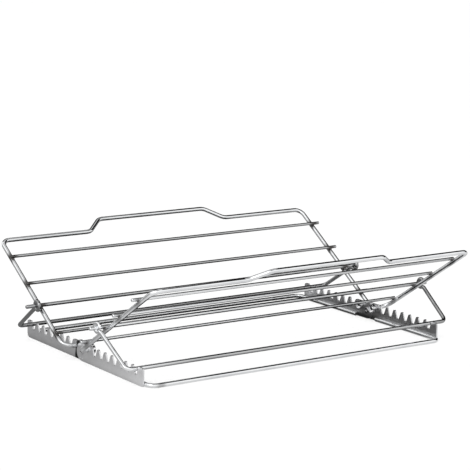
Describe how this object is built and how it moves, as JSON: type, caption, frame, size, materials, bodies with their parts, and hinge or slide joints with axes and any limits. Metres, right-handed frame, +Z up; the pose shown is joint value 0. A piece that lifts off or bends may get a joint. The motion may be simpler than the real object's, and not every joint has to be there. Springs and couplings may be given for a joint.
{
  "type": "roasting rack",
  "caption": "Adjustable V-shaped roasting rack: wire panels on a folding base, propped by bails in notched side rails.",
  "frame": {"origin": "on the table, midway along the hinge line that both halves share", "axes": "+X along the rack, +Y from the front panel to the rear panel, +Z up"},
  "size_m": [0.388, 0.2826, 0.0991],
  "materials": {
    "wire_chrome": "polished",
    "rail_steel": "satin",
    "rivet_steel": "polished"
  },
  "bodies": {
    "rear_base": {"rear_rail_left": "rail_steel", "rear_rail_right": "rail_steel", "rear_base_wire": "wire_chrome", "hinge_rivet_left": "rivet_steel", "hinge_rivet_right": "rivet_steel"},
    "front_base": {"front_rail_left": "rail_steel", "front_rail_right": "rail_steel", "front_base_wire": "wire_chrome"},
    "front_panel": {"front_panel_frame": "wire_chrome", "front_fill_wire_1": "wire_chrome", "front_pivot_wire": "wire_chrome", "front_fill_wire_3": "wire_chrome", "front_fill_wire_4": "wire_chrome", "front_pin_cap_left": "rivet_steel", "front_pin_cap_right": "rivet_steel"},
    "rear_panel": {"rear_panel_frame": "wire_chrome", "rear_fill_wire_1": "wire_chrome", "rear_pivot_wire": "wire_chrome", "rear_fill_wire_3": "wire_chrome", "rear_fill_wire_4": "wire_chrome", "rear_pin_cap_left": "rivet_steel", "rear_pin_cap_right": "rivet_steel"},
    "front_bail": {"front_bail": "wire_chrome"},
    "rear_bail": {"rear_bail": "wire_chrome"}
  },
  "joints": [
    {"name": "front_base_fold", "type": "hinge", "parent": "rear_base", "child": "front_base", "pos_m": [0, 0, 0.00825], "axis": [1, 0, 0], "range_deg": [0, 110]},
    {"name": "front_panel_tilt", "type": "hinge", "parent": "front_base", "child": "front_panel", "pos_m": [0, -0.0099, 0.0124], "axis": [-1, 0, 0], "range_deg": [0, 50]},
    {"name": "rear_panel_tilt", "type": "hinge", "parent": "rear_base", "child": "rear_panel", "pos_m": [0, 0.0099, 0.0124], "axis": [1, 0, 0], "range_deg": [0, 50]},
    {"name": "front_bail_swing", "type": "hinge", "parent": "front_panel", "child": "front_bail", "pos_m": [0, -0.04945, 0.04258], "axis": [1, 0, 0], "range_deg": [0, 50]},
    {"name": "rear_bail_swing", "type": "hinge", "parent": "rear_panel", "child": "rear_bail", "pos_m": [0, 0.04945, 0.04258], "axis": [-1, 0, 0], "range_deg": [0, 50]}
  ],
  "couplings": [
    {"joint": "front_bail_swing", "follows": "front_panel_tilt", "ratio": 1},
    {"joint": "rear_bail_swing", "follows": "rear_panel_tilt", "ratio": 1}
  ]
}
